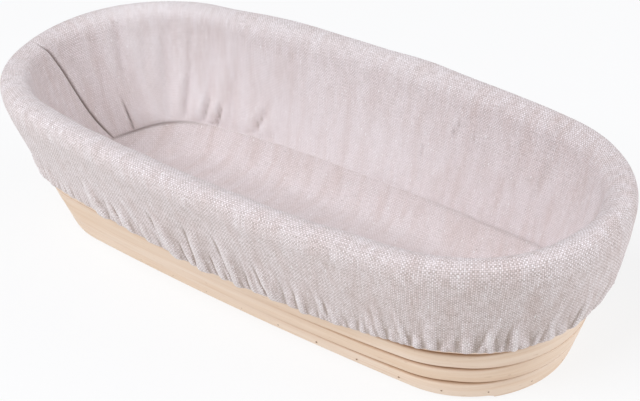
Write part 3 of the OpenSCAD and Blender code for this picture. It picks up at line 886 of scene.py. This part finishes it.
def hemStitches(name):
    row, sides, rings = keyRow["casing"], stitch["sides"], stitch["rings"]
    x, y, facing = ovalAt(step, wallOval(stripZ[row], stripOut[row] + stitch["proud"]))
    line = np.stack([x, y, stripZ[row]], 1)
    line = np.concatenate([line, line[:1]])
    way = wayAlong(line)
    count = int(way[-1] / stitch["pitch"])
    part = np.linspace(0, 1, rings)
    at = (np.arange(count)[:, None] * way[-1] / count + part * stitch["length"]) % way[-1]
    centre = np.stack([np.interp(at, way, line[:, i]) for i in range(3)], 2)
    outward = np.interp(at, way, np.unwrap(np.append(facing, facing[0] + 2 * math.pi)))
    outward = np.stack([np.cos(outward), np.sin(outward), np.zeros_like(outward)], 2)
    thin = stitch["thick"] * np.sqrt(np.clip(1 - (2 * part - 1) ** 2, stitch["thinnest"], 1))[:, None]
    centre = centre - outward * (stitch["dive"] * (2 * part - 1) ** 4)[:, None]
    spin = np.linspace(0, 2 * math.pi, sides, endpoint=False)
    ring = (centre[:, :, None] + outward[:, :, None] * (thin * np.cos(spin))[None, :, :, None]
            + np.array([0, 0, 1]) * (thin * np.sin(spin))[None, :, :, None])
    faces = []
    for number in range(count):
        base, end = number * rings * sides, (number + 1) * rings * sides
        faces += tubeFaces(base, rings, sides)
        faces += [tuple(range(base, base + sides)), tuple(range(end - sides, end))[::-1]]
    piece = addPiece(name, ring, faces)
    faceOutward(piece)
    settle(piece, "thread", "liner", "linen")


hemStitches("hemStitches")
linerSide("linerSide", "liner_side")
linerFloor("linerFloor", "liner_floor")
hemElastic("hemElastic", "hem_elastic")
print("liner sewn")

# Stage: a white sweep lit through from below, so that shadows on it are pale, under one broad soft light from
# the front left and a weak one at the right. A lamp is its place, the length of its side and its power.
stage = {"floor": "#6e6e6e", "floorSize": 6000, "glow": 0.79, "sky": 0.36, "skyColour": "#fdfbfd",
         "lampColour": "#f3f7ff", "roughness": 0.9, "tooth": 1.5, "height": 0.05, "relief": 0.1,
         "lamps": {"main": ((-0.25, -1.18, 1.6), 1.4, 35), "right": ((1.25, 0.8, 0.7), 1.2, 13)}}


def studio():
    size = stage["floorSize"] / 2
    corners = [(-size, -size, 0), (size, -size, 0), (size, size, 0), (-size, size, 0)]
    floor = addPiece("sweep", corners, [(0, 1, 2, 3)])
    material, tree = startMaterial("Paper sweep, matt")
    place = addNode(tree, "TexCoord")["Object"]
    toothScale = 1 / (stage["tooth"] * mm)
    tooth = addNode(tree, "TexNoise", {"Vector": place, "Scale": toothScale, "Detail": 2})[0]
    addSurface(tree, stage, {"Base Color": toLinear(stage["floor"]), "Roughness": stage["roughness"],
                             "Emission Color": (1, 1, 1, 1), "Emission Strength": stage["glow"]}, tooth)
    floor.data.materials.append(material)
    world = bpy.data.worlds.new("Studio")
    bpy.context.scene.world = world
    world.use_nodes = True
    sky = world.node_tree.nodes["Background"]
    sky.inputs["Color"].default_value = toLinear(stage["skyColour"])
    sky.inputs["Strength"].default_value = stage["sky"]
    for name, (place, side, power) in stage["lamps"].items():
        lamp = bpy.data.lights.new(name, "AREA")
        lamp.energy = power
        lamp.color = toLinear(stage["lampColour"])[:3]
        lamp.size = side
        holder = bpy.data.objects.new(name, lamp)
        holder.location = place
        holder.rotation_euler = Vector(place).to_track_quat("Z", "Y").to_euler()
        bpy.context.scene.collection.objects.link(holder)
    bpy.context.scene.view_settings.view_transform = "Standard"


# Camera: where the picture was taken from, found from the rim, foot, grooves and seam
shot = {"place": (0.44733, -0.48021, 0.44761), "azimuth": 42.12, "elevation": 32.07, "roll": -3.92,
        "focalPixels": 1579.85, "imageWidth": 640, "sensor": 36, "clip": (0.01, 20)}


def camera():
    azimuth, elevation, roll = (math.radians(shot[key]) for key in ("azimuth", "elevation", "roll"))
    back = np.array([math.sin(azimuth) * math.cos(elevation), -math.cos(azimuth) * math.cos(elevation),
                     math.sin(elevation)])
    right = np.array([math.cos(azimuth), math.sin(azimuth), 0])
    up = np.cross(back, right)
    right, up = right * math.cos(roll) + up * math.sin(roll), up * math.cos(roll) - right * math.sin(roll)
    lens = bpy.data.cameras.new("shot")
    lens.sensor_width = shot["sensor"]
    lens.lens = shot["focalPixels"] * shot["sensor"] / shot["imageWidth"]
    lens.clip_start, lens.clip_end = shot["clip"]
    view = bpy.data.objects.new("shot", lens)
    rows = [(right[i], up[i], back[i], shot["place"][i]) for i in range(3)]
    view.matrix_world = Matrix(rows + [(0, 0, 0, 1)])
    bpy.context.scene.collection.objects.link(view)
    bpy.context.scene.camera = view


studio()
camera()
print("studio lit")
bpy.context.view_layer.update()
